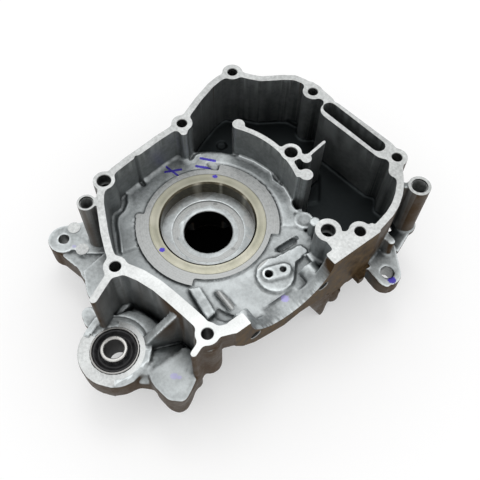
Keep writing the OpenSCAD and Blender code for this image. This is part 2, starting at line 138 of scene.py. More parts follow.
class InsertSettings(bpy.types.PropertyGroup):
    """Finish of the steel bearing ring"""

    face: bpy.props.FloatVectorProperty(
        name="Ring face", description="Straw tint of the turned face", size=3,
        default=(0.27, 0.266, 0.21), min=0, max=1, subtype="COLOR")
    bore: bpy.props.FloatVectorProperty(
        name="Ring bore", description="Colour of the ground bearing seat", size=3,
        default=(0.10, 0.088, 0.062), min=0, max=1, subtype="COLOR")
    edge: bpy.props.FloatProperty(
        name="Edge break", description="Small chamfer on the outer edge of the ring",
        default=0.25 * MM, min=0.05 * MM, max=0.6 * MM, subtype="DISTANCE", unit="LENGTH")
    mouth: bpy.props.FloatProperty(
        name="Mouth chamfer", description="Chamfer at the mouth of the bearing seat",
        default=1.1 * MM, min=0.5 * MM, max=1.5 * MM, subtype="DISTANCE", unit="LENGTH")


class BushSettings(bpy.types.PropertyGroup):
    """Finish of the hanger bush"""

    rubber: bpy.props.FloatVectorProperty(
        name="Rubber", description="Colour of the moulded rubber", size=3,
        default=(0.012, 0.012, 0.013), min=0, max=1, subtype="COLOR")
    sleeve: bpy.props.FloatVectorProperty(
        name="Sleeve steel", description="Colour of the steel sleeves", size=3,
        default=(0.46, 0.455, 0.44), min=0, max=1, subtype="COLOR")
    groove: bpy.props.FloatProperty(
        name="Rubber groove", description="Depth of the moulded groove in the rubber",
        default=2.4 * MM, min=0.5 * MM, max=4 * MM, subtype="DISTANCE", unit="LENGTH")


class StageSettings(bpy.types.PropertyGroup):
    """Floor, lamps and camera"""

    floor: bpy.props.FloatVectorProperty(
        name="Floor", description="Colour of the floor", size=3,
        default=(1.0, 1.0, 1.0), min=0, max=1, subtype="COLOR")
    lift: bpy.props.FloatProperty(
        name="Floor lift", description="Share of plain white in the floor, which softens the shadow",
        default=0.38, min=0, max=1)
    # Painted shade: a black disc on the floor under the cover recess, seen through the crank bore; the floor's white
    # lift leaves it out.
    shadow_pad_r: bpy.props.FloatProperty(
        name="Black pad", description="Radius of the black pad on the floor inside the cover recess",
        default=40 * MM, min=1 * MM, max=45 * MM, subtype="DISTANCE", unit="LENGTH")
    camera_at: bpy.props.FloatVectorProperty(
        name="Camera place", description="Where the camera stands", size=3,
        default=(0.18304, -0.12040, 0.36943), subtype="TRANSLATION", unit="LENGTH")
    camera_turn: bpy.props.FloatVectorProperty(
        name="Camera turn", description="How the camera is turned", size=3,
        default=tuple(math.radians(a) for a in (29.785, -1.026, 52.837)), subtype="EULER")
    lens: bpy.props.FloatProperty(
        name="Lens", description="Focal length in millimetres on a 36 mm frame", default=48, min=20, max=120)
    key_power: bpy.props.FloatProperty(
        name="Key lamp", description="Power of the large soft lamp in watts", default=2.2, min=0, max=200)
    sky: bpy.props.FloatProperty(
        name="Sky", description="Strength of the even light from all sides", default=0.96, min=0, max=2)


def paste(tree, kind, **inputs):
    """Adds a shader node; each input is a value or a socket to link from."""
    made = tree.nodes.new(kind)
    for name, value in inputs.items():
        socket = made.inputs[int(name[1:])] if name[0] == "i" and name[1:].isdigit() else made.inputs[name]
        if isinstance(value, bpy.types.NodeSocket):
            tree.links.new(value, socket)
        else:
            socket.default_value = value
    return made


def material(name):
    """An empty material with one metal shader, and the object coordinates for its patterns."""
    made = bpy.data.materials.new(name)
    made.use_nodes = True
    tree = made.node_tree
    shader = tree.nodes["Principled BSDF"]
    coords = tree.nodes.new("ShaderNodeTexCoord").outputs["Object"]
    return made, tree, shader, coords


def noise(tree, coords, scale, detail=3.0, rough=0.55):
    """A noise value from 0 to 1; scale is in waves to the metre."""
    made = paste(tree, "ShaderNodeTexNoise", Vector=coords, Scale=scale, Detail=detail, Roughness=rough)
    return made.outputs["Fac"]


def spread(tree, value, low, high, start=0.0, end=1.0):
    """Maps low..high to start..end and holds the ends."""
    made = tree.nodes.new("ShaderNodeMapRange")
    tree.links.new(value, made.inputs["Value"])
    for name, number in zip(("From Min", "From Max", "To Min", "To Max"), (low, high, start, end)):
        made.inputs[name].default_value = number
    return made.outputs["Result"]


def sum_of(tree, kind, a, b):
    made = tree.nodes.new("ShaderNodeMath")
    made.operation = kind
    for socket, value in zip(made.inputs, (a, b)):
        if isinstance(value, bpy.types.NodeSocket):
            tree.links.new(value, socket)
        else:
            socket.default_value = value
    return made.outputs[0]


def blend_colours(tree, share, first, second, kind="MIX"):
    """Mixes two colours; each is a socket or three numbers."""
    made = tree.nodes.new("ShaderNodeMix")
    made.data_type = "RGBA"
    made.blend_type = kind
    for index, value in ((0, share), (6, first), (7, second)):
        if isinstance(value, bpy.types.NodeSocket):
            tree.links.new(value, made.inputs[index])
        elif index:
            made.inputs[index].default_value = (*value, 1)
        else:
            made.inputs[index].default_value = value
    return made.outputs[2]


def bump(tree, shader, height, strength, depth):
    """Raises the surface by depth metres times the height value."""
    made = paste(tree, "ShaderNodeBump", Height=height, Strength=strength, Distance=depth)
    tree.links.new(made.outputs["Normal"], shader.inputs["Normal"])


def attribute(tree, name):
    """A value that the mesh carries on its vertices."""
    made = tree.nodes.new("ShaderNodeAttribute")
    made.attribute_name = name
    return made.outputs["Fac"]


def ring_lines(tree, coords, centre, scale, detail=4.0):
    """Turning marks: noise that only changes with the distance from an axis along Z."""
    away = paste(tree, "ShaderNodeVectorMath", i0=coords, i1=(-centre[0], -centre[1], 0))
    flat = tree.nodes.new("ShaderNodeVectorMath")
    flat.operation = "MULTIPLY"
    tree.links.new(away.outputs[0], flat.inputs[0])
    flat.inputs[1].default_value = (1, 1, 0)
    length = tree.nodes.new("ShaderNodeVectorMath")
    length.operation = "LENGTH"
    tree.links.new(flat.outputs[0], length.inputs[0])
    lines = tree.nodes.new("ShaderNodeTexNoise")
    lines.noise_dimensions = "1D"
    tree.links.new(length.outputs["Value"], lines.inputs["W"])
    lines.inputs["Scale"].default_value = scale
    lines.inputs["Detail"].default_value = detail
    return lines.outputs["Fac"]


STROKE_GROUP = "Ink stroke"
INK = (0.045, 0.028, 0.36)
PALE_INK = (0.36, 0.30, 0.72)
# Ends of each ink stroke in millimetres, and its half width
PAD_STROKES = [
    ((-50.2, 0.2, 10.5), (-45.6, 10.0, 10.5), 1.0), ((-53.2, 3.2, 10.5), (-42.0, 5.6, 10.5), 0.9),
    ((-45.2, 26.6, 10.5), (-37.8, 33.0, 10.5), 1.15), ((-41.6, 20.2, 10.5), (-34.6, 26.6, 10.5), 1.15),
]
# Middle and half width in degrees of the painted highlight streaks down the bearing seat
BORE_HIGHLIGHTS = [(158, 7), (92, 6), (128, 3)]
# The lip's painted highlight, a thin bright line between the floor of the crank chamber and the baffle
LIP_HIGHLIGHT_LINE = [
    (-30.8, 48.9, 11.2), (-20.5, 54.1, 11.2), (-13.9, 56, 11.2), (-7.3, 57.8, 11.2), (-0.8, 55.2, 11.2),
    (8.8, 57.1, 11.2), (17.5, 55.3, 11.2), (23.2, 52.3, 11.2), (28.3, 52.4, 11.2), (28.8, 55.6, 11.2),
]
RING_DOTS = [((-26.9, 24.9, 11), 1.5), ((14.2, 37.3, 11), 1.35), ((-0.6, -35.9, 11), 1.6)]
FLOOR_DOTS = [((71.7, 6.8, 7.6), 2.3)]
EAR_DOTS = [((99.3, 75.8, -5), 2.6)]
# Painted shade of small dimples in the shoulder behind the bearing seat
DIMPLE_SHADES = [((-15.1, 16.5, -1), 1.3), ((-7.3, -19.6, -1), 1.2), ((20.6, 5.2, -1), 1.2)]
# Painted shade along the bottom of the long hollow beside the post with two holes
HOLLOW_SHADE_LINE = [(42.9, 23.8, 9), (43.3, 39.3, 9)]
FAINT_DOTS = [((69.0, -75.0, 0), 2.0), ((71.5, -73.0, 0), 1.2), ((-49.0, -77.0, -10), 1.2)]


def stroke_group():
    """A reusable mask: one inside a line from A to B with a given half width, with a ragged edge."""
    group = bpy.data.node_groups.new(STROKE_GROUP, "ShaderNodeTree")
    for name in ("Place", "A", "B"):
        group.interface.new_socket(name, in_out="INPUT", socket_type="NodeSocketVector")
    group.interface.new_socket("Half width", in_out="INPUT", socket_type="NodeSocketFloat")
    group.interface.new_socket("Mask", in_out="OUTPUT", socket_type="NodeSocketFloat")
    feed = group.nodes.new("NodeGroupInput").outputs

    def vector(kind, a, b, out=0):
        made = group.nodes.new("ShaderNodeVectorMath")
        made.operation = kind
        for socket, value in zip(made.inputs, (a, b)):
            if value is not None:
                group.links.new(value, socket)
        return made.outputs[out]

    along = vector("SUBTRACT", feed["B"], feed["A"])
    reach = vector("SUBTRACT", feed["Place"], feed["A"])
    share = sum_of(group, "DIVIDE", vector("DOT_PRODUCT", reach, along, 1),
                   vector("DOT_PRODUCT", along, along, 1))
    share = spread(group, share, 0, 1)
    scaled = group.nodes.new("ShaderNodeVectorMath")
    scaled.operation = "SCALE"
    group.links.new(along, scaled.inputs[0])
    group.links.new(share, scaled.inputs["Scale"])
    gap = vector("LENGTH", vector("SUBTRACT", reach, scaled.outputs[0]), None, 1)
    ragged = spread(group, noise(group, feed["Place"], 1800, 2), 0.3, 0.7, 0.75, 1.2)
    edge = sum_of(group, "MULTIPLY", feed["Half width"], ragged)
    inside = sum_of(group, "DIVIDE", sum_of(group, "SUBTRACT", edge, gap), 0.00018)
    mask = spread(group, inside, 0, 1)
    group.links.new(mask, group.nodes.new("NodeGroupOutput").inputs["Mask"])
    return group


def ink(tree, coords, colour, strokes, tint=INK, strength=0.92):
    """Lays felt-pen strokes over a colour."""
    group = bpy.data.node_groups.get(STROKE_GROUP) or stroke_group()
    total = None
    for start, end, half in strokes:
        made = tree.nodes.new("ShaderNodeGroup")
        made.node_tree = group
        tree.links.new(coords, made.inputs["Place"])
        made.inputs["A"].default_value = [v * MM for v in start]
        made.inputs["B"].default_value = [v * MM for v in end]
        made.inputs["Half width"].default_value = half * MM
        mask = made.outputs["Mask"]
        total = mask if total is None else sum_of(tree, "MAXIMUM", total, mask)
    share = sum_of(tree, "MULTIPLY", total, strength)
    return blend_colours(tree, share, colour, tint)


def strokes_along(points, half):
    """One stroke for each stretch of a line."""
    return [(start, end, half) for start, end in zip(points, points[1:])]


def dots(places):
    """A dot is a stroke that hardly moves."""
    return [(at, (at[0] + 0.4, at[1] + 0.5, at[2]), half) for at, half in places]


def facing(tree):
    """The way the surface faces, in the piece's own space."""
    return tree.nodes.new("ShaderNodeTexCoord").outputs["Normal"]


def cast_skin(look):
    """Die-cast aluminium: satin and mottled, with painted shade in deep pockets, on steep walls and in creases,
    painted highlights on ridges and the lip, and a painted warm reflection on the outer sides.
    """
    made, tree, shader, coords = material("cast skin")
    clouds = noise(tree, coords, 70, 4)
    mottle = noise(tree, coords, 420, 3)
    grain = noise(tree, coords, 2600, 2)
    cavity = attribute(tree, "cavity")
    table = attribute(tree, "table")
    tone = sum_of(tree, "ADD", sum_of(tree, "MULTIPLY", clouds, 0.5), sum_of(tree, "MULTIPLY", mottle, 0.5))
    light = [min(1, v * 1.25) for v in look.skin]
    dark = [v * 0.70 for v in look.skin]
    colour = blend_colours(tree, spread(tree, tone, 0.38, 0.62), dark, light)
    # Painted highlights on ridges and painted shade in creases, from how the surface bends.
    edge = attribute(tree, "edge")
    colour = blend_colours(tree, spread(tree, edge, -0.03, -0.24, 0, 0.72), colour, [v * 0.22 for v in look.skin])
    colour = blend_colours(tree, spread(tree, edge, 0.05, 0.28, 0, 0.72), colour, [v * 1.95 for v in look.skin])
    # Painted reflection: a warm brown from the table below on faces open to it, taken off faces that look up.
    film_and_reflection = sum_of(tree, "MULTIPLY", spread(tree, table, 0.05, 0.32, 0, 1), spread(tree, clouds, 0.3, 0.6, 0.8, 1.0))
    up = paste(tree, "ShaderNodeSeparateXYZ", Vector=facing(tree)).outputs["Z"]
    film_and_reflection = sum_of(tree, "MULTIPLY", film_and_reflection, spread(tree, up, 0.6, 0.4))
    # Painted shade: steep walls are darker than flat faces, as they reflect darker surroundings.
    steep_wall_shade = spread(tree, sum_of(tree, "ABSOLUTE", up, 0), 0.55, 0.15, 0, 0.54)
    colour = blend_colours(tree, steep_wall_shade, colour, [v * 0.28 for v in look.skin])
    colour = blend_colours(tree, film_and_reflection, colour, look.warm_reflection)
    # Painted shade: deep pockets, found by rays, go dark, and the deepest darker still.
    colour = blend_colours(tree, spread(tree, cavity, 0.34, 0.84), colour, look.pocket_shade)
    colour = blend_colours(tree, spread(tree, cavity, 0.9, 1.2), colour, [v * 0.5 for v in look.pocket_shade])
    # Painted highlight along the thin lip by the baffle.
    colour = ink(tree, coords, colour, strokes_along(LIP_HIGHLIGHT_LINE, 0.5), [v * 2 for v in look.skin], 0.7)
    # Painted shade along the bottom of the long hollow.
    colour = ink(tree, coords, colour, strokes_along(HOLLOW_SHADE_LINE, 2.0), look.pocket_shade, 0.85)
    colour = ink(tree, coords, colour, PAD_STROKES)
    colour = ink(tree, coords, colour, dots(FLOOR_DOTS), PALE_INK, 0.55)
    colour = ink(tree, coords, colour, dots(EAR_DOTS))
    colour = ink(tree, coords, colour, dots(FAINT_DOTS), PALE_INK, 0.35)
    tree.links.new(colour, shader.inputs["Base Color"])
    tree.links.new(spread(tree, mottle, 0.3, 0.7, 0.36, 0.52), shader.inputs["Roughness"])
    tree.links.new(spread(tree, film_and_reflection, 0, 1, 0.85, 0.1), shader.inputs["Metallic"])
    shader.inputs["Specular IOR Level"].default_value = 0.06
    height = sum_of(tree, "ADD", grain, sum_of(tree, "MULTIPLY", mottle, 1.6))
    bump(tree, shader, height, 0.35, 0.00012)
    return made


def cut_face(look):
    """A milled face: bright, with a fine mottle and faint cutter marks."""
    made, tree, shader, coords = material("machined face")
    mottle = noise(tree, coords, 520, 5, 0.7)
    patches = noise(tree, coords, 45, 3)
    pits = noise(tree, coords, 1500, 2)
    bright = [min(1, v * 1.12) for v in look.cut]
    dull = [v * 0.66 for v in look.cut]
    tone = sum_of(tree, "ADD", sum_of(tree, "MULTIPLY", mottle, 0.6), sum_of(tree, "MULTIPLY", patches, 0.4))
    colour = blend_colours(tree, spread(tree, tone, 0.36, 0.62), dull, bright)
    colour = blend_colours(tree, spread(tree, pits, 0.68, 0.76, 0, 0.5), colour, [v * 0.5 for v in look.cut])
    tree.links.new(colour, shader.inputs["Base Color"])
    tree.links.new(spread(tree, mottle, 0.3, 0.7, 0.30, 0.46), shader.inputs["Roughness"])
    shader.inputs["Metallic"].default_value = 0.9
    marks = paste(tree, "ShaderNodeTexWave", Vector=coords, Scale=260.0, Distortion=1.2)
    height = sum_of(tree, "ADD", sum_of(tree, "MULTIPLY", marks.outputs["Fac"], 0.5), mottle)
    bump(tree, shader, height, 0.25, 0.00004)
    return made


def bored_face(look, name="bored hole", share=0.5):
    """The wall of a drilled or bored hole: darker, by its share of the milled colour."""
    made, tree, shader, coords = material(name)
    mottle = noise(tree, coords, 600, 3)
    colour = blend_colours(tree, spread(tree, mottle, 0.3, 0.7),
                           [v * share * 0.8 for v in look.cut], [v * share * 1.2 for v in look.cut])
    tree.links.new(colour, shader.inputs["Base Color"])
    tree.links.new(spread(tree, mottle, 0.3, 0.7, 0.28, 0.4), shader.inputs["Roughness"])
    shader.inputs["Metallic"].default_value = 0.95
    return made


def gasket_face(look):
    """The barrel face: milled, with a baked brown film from the gasket."""
    made, tree, shader, coords = material("gasket face")
    film_and_reflection = noise(tree, coords, 160, 5, 0.65)
    dark = noise(tree, coords, 700, 3)
    colour = blend_colours(tree, spread(tree, film_and_reflection, 0.35, 0.65), (0.030, 0.018, 0.008), (0.105, 0.070, 0.036))
    colour = blend_colours(tree, spread(tree, dark, 0.62, 0.72, 0, 0.8), colour, (0.014, 0.009, 0.005))
    tree.links.new(colour, shader.inputs["Base Color"])
    tree.links.new(spread(tree, film_and_reflection, 0.3, 0.7, 0.4, 0.6), shader.inputs["Roughness"])
    shader.inputs["Metallic"].default_value = 0.15
    shader.inputs["Specular IOR Level"].default_value = 0.06
    bump(tree, shader, film_and_reflection, 0.3, 0.0001)
    return made


def turned_face(look):
    """Aluminium turned on a lathe about the crank axis."""
    made, tree, shader, coords = material("turned face")
    lines = ring_lines(tree, coords, (0, 0), 3200)
    mottle = noise(tree, coords, 480, 4, 0.65)
    tone = sum_of(tree, "ADD", sum_of(tree, "MULTIPLY", lines, 0.45), sum_of(tree, "MULTIPLY", mottle, 0.55))
    colour = blend_colours(tree, spread(tree, tone, 0.36, 0.62),
                           [v * 0.40 for v in look.cut], [v * 0.74 for v in look.cut])
    # Painted shade in the three dimples.
    colour = ink(tree, coords, colour, dots(DIMPLE_SHADES), [v * 0.25 for v in look.cut], 0.6)
    tree.links.new(colour, shader.inputs["Base Color"])
    tree.links.new(spread(tree, mottle, 0.3, 0.7, 0.32, 0.5), shader.inputs["Roughness"])
    shader.inputs["Metallic"].default_value = 0.9
    bump(tree, shader, sum_of(tree, "ADD", lines, mottle), 0.25, 0.00004)
    return made


def steel_ring(look):
    """Turned steel with a straw tint and ink dots."""
    made, tree, shader, coords = material("straw steel")
    lines = ring_lines(tree, coords, (0, 0), 4200)
    wide = ring_lines(tree, coords, (0, 0), 420, 2)
    clouds = noise(tree, coords, 60, 3)
    stains = noise(tree, coords, 900, 4)
    tone = sum_of(tree, "ADD", sum_of(tree, "MULTIPLY", lines, 0.4), sum_of(tree, "MULTIPLY", wide, 0.6))
    colour = blend_colours(tree, spread(tree, tone, 0.35, 0.65),
                           [v * 0.84 for v in look.face], [min(1, v * 1.14) for v in look.face])
    colour = blend_colours(tree, spread(tree, clouds, 0.4, 0.7, 0, 0.35), colour, (0.52, 0.50, 0.43))
    colour = blend_colours(tree, spread(tree, stains, 0.66, 0.75, 0, 0.5), colour, (0.24, 0.19, 0.10))
    colour = ink(tree, coords, colour, dots(RING_DOTS))
    tree.links.new(colour, shader.inputs["Base Color"])
    tree.links.new(spread(tree, stains, 0.3, 0.7, 0.30, 0.42), shader.inputs["Roughness"])
    shader.inputs["Metallic"].default_value = 0.9
    bump(tree, shader, lines, 0.3, 0.00003)
    return made


def steel_bore(look):
    """The ground seat inside the ring: smooth, brownish, oiled, with painted highlight streaks at set angles."""
    made, tree, shader, coords = material("ground seat")
    streaks = paste(tree, "ShaderNodeMapping", Vector=coords, Scale=(1, 1, 9))
    bands = noise(tree, streaks.outputs["Vector"], 320, 3)
    colour = blend_colours(tree, spread(tree, bands, 0.3, 0.7),
                           [v * 0.35 for v in look.bore], [min(1, v * 1.1) for v in look.bore])
    parts = paste(tree, "ShaderNodeSeparateXYZ", Vector=coords).outputs
    turn = sum_of(tree, "ARCTAN2", parts["Y"], parts["X"])
    # Painted highlight streaks down the seat at set angles.
    for middle, width in BORE_HIGHLIGHTS:
        away = sum_of(tree, "ABSOLUTE", sum_of(tree, "SUBTRACT", turn, math.radians(middle)), 0)
        share = spread(tree, away, math.radians(width), 0, 0, 0.8)
        colour = blend_colours(tree, share, colour, (0.36, 0.34, 0.28))
    tree.links.new(colour, shader.inputs["Base Color"])
    tree.links.new(spread(tree, bands, 0.3, 0.7, 0.16, 0.26), shader.inputs["Roughness"])
    shader.inputs["Metallic"].default_value = 1.0
    return made


def bright_steel(look, name, shade, rough, metal=1.0):
    """Drawn or turned tube ends."""
    made, tree, shader, coords = material(name)
    lines = ring_lines(tree, coords, BUSH_AT, 5200)
    mottle = noise(tree, coords, 900, 3)
    tone = sum_of(tree, "ADD", sum_of(tree, "MULTIPLY", lines, 0.5), sum_of(tree, "MULTIPLY", mottle, 0.5))
    colour = blend_colours(tree, spread(tree, tone, 0.35, 0.65),
                           [v * shade * 0.8 for v in look.sleeve], [min(1, v * shade * 1.15) for v in look.sleeve])
    tree.links.new(colour, shader.inputs["Base Color"])
    tree.links.new(spread(tree, mottle, 0.3, 0.7, rough, rough + 0.12), shader.inputs["Roughness"])
    shader.inputs["Metallic"].default_value = metal
    bump(tree, shader, lines, 0.25, 0.00003)
    return made


def rubber(look):
    """Moulded black rubber with a dusty bloom."""
    made, tree, shader, coords = material("moulded rubber")
    bloom = noise(tree, coords, 260, 4)
    grain = noise(tree, coords, 2400, 2)
    dusty = [min(1, v * 3.2 + 0.008) for v in look.rubber]
    colour = blend_colours(tree, spread(tree, bloom, 0.45, 0.72), look.rubber, dusty)
    tree.links.new(colour, shader.inputs["Base Color"])
    tree.links.new(spread(tree, bloom, 0.3, 0.7, 0.38, 0.62), shader.inputs["Roughness"])
    shader.inputs["Specular IOR Level"].default_value = 0.5
    bump(tree, shader, grain, 0.3, 0.00008)
    return made


def link_mesh(name, mesh):
    made = bpy.data.objects.new(name, mesh)
    bpy.context.scene.collection.objects.link(made)
    return made


def apply_modifiers(piece):
    """Bakes a piece's modifiers into a new mesh."""
    graph = bpy.context.evaluated_depsgraph_get()
    mesh = bpy.data.meshes.new_from_object(piece.evaluated_get(graph), depsgraph=graph)
    piece.modifiers.clear()
    old = piece.data
    piece.data = mesh
    bpy.data.meshes.remove(old)


def cylinder(low, high, radius, axis=(0, 0, 1), sides=96, top_radius=None):
    """A closed cylinder or cone from low to high along an axis, as a mesh for the cutter."""
    axis = Vector(axis).normalized()
    grid = bmesh.new()
    bmesh.ops.create_cone(
        grid, cap_ends=True, segments=sides, radius1=radius,
        radius2=radius if top_radius is None else top_radius, depth=(high - low).length)
    turn = Vector((0, 0, 1)).rotation_difference(axis).to_matrix().to_4x4()
    turn.translation = (low + high) / 2
    grid.transform(turn)
    mesh = bpy.data.meshes.new("cutter")
    grid.to_mesh(mesh)
    grid.free()
    return mesh


def block(low, high):
    """A closed box between two corners, as a mesh for the cutter."""
    grid = bmesh.new()
    bmesh.ops.create_cube(grid, size=1)
    for corner in grid.verts:
        corner.co = [low[i] if corner.co[i] < 0 else high[i] for i in range(3)]
    mesh = bpy.data.meshes.new("cutter")
    grid.to_mesh(mesh)
    grid.free()
    return mesh


def wedge(centre, radius, start, turn, low, high):
    """A closed slice of a disc, from a start angle through a turn in degrees, as a mesh for the cutter."""
    grid = bmesh.new()
    whole = turn >= 360
    steps = 72
    ends = [math.radians(start + turn * i / steps) for i in range(steps if whole else steps + 1)]
    outline = [(centre[0] + radius * math.cos(a), centre[1] + radius * math.sin(a)) for a in ends]
    if not whole:
        outline.append((centre[0], centre[1]))
    base = grid.faces.new([grid.verts.new((x, y, low)) for x, y in outline])
    raised = bmesh.ops.extrude_face_region(grid, geom=[base])["geom"]
    bmesh.ops.translate(grid, vec=(0, 0, high - low), verts=[v for v in raised if isinstance(v, bmesh.types.BMVert)])
    bmesh.ops.recalc_face_normals(grid, faces=grid.faces)
    mesh = bpy.data.meshes.new("cutter")
    grid.to_mesh(mesh)
    grid.free()
    return mesh


def hollow_tool(middle, sizes, turn):
    """A stretched ball, turned in degrees about Z, as a mesh for the cutter."""
    grid = bmesh.new()
    bmesh.ops.create_icosphere(grid, subdivisions=4, radius=1)
    bmesh.ops.scale(grid, vec=sizes, verts=grid.verts)
    bmesh.ops.rotate(grid, matrix=Matrix.Rotation(math.radians(turn), 3, "Z"), verts=grid.verts)
    bmesh.ops.translate(grid, vec=middle, verts=grid.verts)
    mesh = bpy.data.meshes.new("cutter")
    grid.to_mesh(mesh)
    grid.free()
    return mesh


def even_out(piece, longest, most):
    """Splits long edges on the cast skin, so that the shades stored on its points change evenly."""
    grid = bmesh.new()
    grid.from_mesh(piece.data)
    bmesh.ops.triangulate(grid, faces=grid.faces)
    for _ in range(3):
        lines = [line for line in grid.edges
                 if line.calc_length() > longest and any(f.material_index == 0 for f in line.link_faces)]
        if not lines or len(grid.faces) + 2 * len(lines) > most:
            break
        bmesh.ops.subdivide_edges(grid, edges=lines, cuts=1)
        bmesh.ops.triangulate(grid, faces=[f for f in grid.faces if len(f.verts) > 3])
    grid.to_mesh(piece.data)
    grid.free()


def machine(piece, mesh, finish):
    """Takes the cutter's shape off the piece and gives the new faces the cutter's finish."""
    mesh.materials.append(finish)
    tool = link_mesh("cutter", mesh)
    cut = piece.modifiers.new("cut", "BOOLEAN")
    cut.operation = "DIFFERENCE"
    cut.solver = "MANIFOLD"
    cut.material_mode = "TRANSFER"
    cut.object = tool
    apply_modifiers(piece)
    bpy.data.objects.remove(tool)
    bpy.data.meshes.remove(mesh)


def rough_casting(look):
    """The casting as it leaves the die: rounded corners, and stock on the faces that get cut."""
    solid = frame["nodes"][CASTING].data.copy()
    grid = bmesh.new()
    grid.from_mesh(solid)
    bmesh.ops.remove_doubles(grid, verts=grid.verts, dist=1e-6)
    near = 0.02 * MM
    boss_r = 47.2 * MM
    for point in grid.verts:
        place = point.co
        away = math.hypot(place.x, place.y)
        if place.z > PARTING_Z - near or abs(place.z - POST_TOP) < near:
            point.co.z += look.stock
        elif abs(place.z - INSERT_TOP) < near and INSERT_R - near < away < boss_r:
            point.co.z += look.stock
        elif place.z < COVER_Z + near:
            point.co.z -= look.stock
        elif place.x > BARREL_X - near and place.y < 71.5 * MM and place.z > -12 * MM:
            point.co.x += look.stock
    for points in FILLS:
        corners = [grid.verts.new([v * MM for v in point]) for point in points]
        corners += [grid.verts.new((x * MM, y * MM, -17 * MM)) for x, y, _ in points]
        bmesh.ops.convex_hull(grid, input=corners)
    # A disc closes the oil hole 10 mm down so the hole shows dark; it stands for the shade further down the passage.
    end = bmesh.ops.create_cone(grid, cap_ends=True, segments=24, radius1=5 * MM, radius2=5 * MM, depth=3 * MM)
    bmesh.ops.translate(grid, vec=OIL_HOLE + Vector((0, 0, -10 * MM)), verts=end["verts"])
    grid.to_mesh(solid)
    grid.free()
    solid.materials.clear()
    piece = link_mesh("machined_casting", solid)
    skin = piece.modifiers.new("skin", "REMESH")
    skin.mode = "VOXEL"
    skin.voxel_size = look.grid
    soft = piece.modifiers.new("soft", "SMOOTH")
    soft.factor = 0.5
    soft.iterations = look.rounding
    apply_modifiers(piece)
    group = piece.vertex_groups.new(name="soft corner")
    group.add([v.index for v in piece.data.vertices
               if v.co.x > 53 * MM and v.co.y < -62 * MM and v.co.z < 5 * MM], 1, "REPLACE")
    softer = piece.modifiers.new("softer", "SMOOTH")
    softer.vertex_group = group.name
    softer.iterations = look.rounding * 12
    apply_modifiers(piece)
    share = look.triangles / (2 * len(piece.data.polygons))
    if share < 1:
        fewer = piece.modifiers.new("fewer", "DECIMATE")
        fewer.ratio = share
        apply_modifiers(piece)
    return piece


def hole_ends(place, axis, radius):
    """The two ends of a hole along its axis, read from the solid's own wall points."""
    reach = []
    for point in frame["nodes"][CASTING].data.vertices:
        away = point.co - place
        along = away.dot(axis)
        if abs((away - axis * along).length - radius) < 0.03 * MM:
            reach.append(along)
    return place + axis * min(reach), place + axis * max(reach)


def drill(piece, place, axis, radius, chamfer, finish, through):
    """Cuts one hole at its place, radius and length, with a chamfer at its mouth."""
    place, axis = Vector(place), Vector(axis)
    bottom, mouth = hole_ends(place, axis, radius)
    if through:
        bottom -= axis * 4 * MM
    machine(piece, cylinder(bottom, mouth + axis * 3 * MM, radius, axis, sides=64), finish)
    machine(piece, cylinder(mouth - axis * chamfer, mouth + axis * chamfer, radius, axis, sides=64,
                            top_radius=radius + 2 * chamfer), finish)


def even_shade(mesh, data, passes):
    """Takes each point's value toward the mean of its neighbours."""
    links = [tuple(line.vertices) for line in mesh.edges]
    values = [point.value for point in data]
    for _ in range(passes):
        total = list(values)
        count = [1] * len(values)
        for first, second in links:
            total[first] += values[second]
            total[second] += values[first]
            count[first] += 1
            count[second] += 1
        values = [a / b for a, b in zip(total, count)]
    for point, value in zip(data, values):
        point.value = value


def edge_attribute(mesh):
    """Stores how sharply the surface bends at each point: above zero on ridges, below in corners."""
    bend = [0.0] * len(mesh.vertices)
    count = [0] * len(mesh.vertices)
    for line in mesh.edges:
        first, second = (mesh.vertices[i] for i in line.vertices)
        along = second.co - first.co
        if along.length > 2 * MM:
            continue
        turn = (second.normal - first.normal).dot(along) / max(along.length, 1e-6)
        for point in (first, second):
            bend[point.index] += turn
            count[point.index] += 1
    edge = mesh.attributes.new("edge", "FLOAT", "POINT")
    for index, total in enumerate(bend):
        edge.data[index].value = total / max(1, count[index])


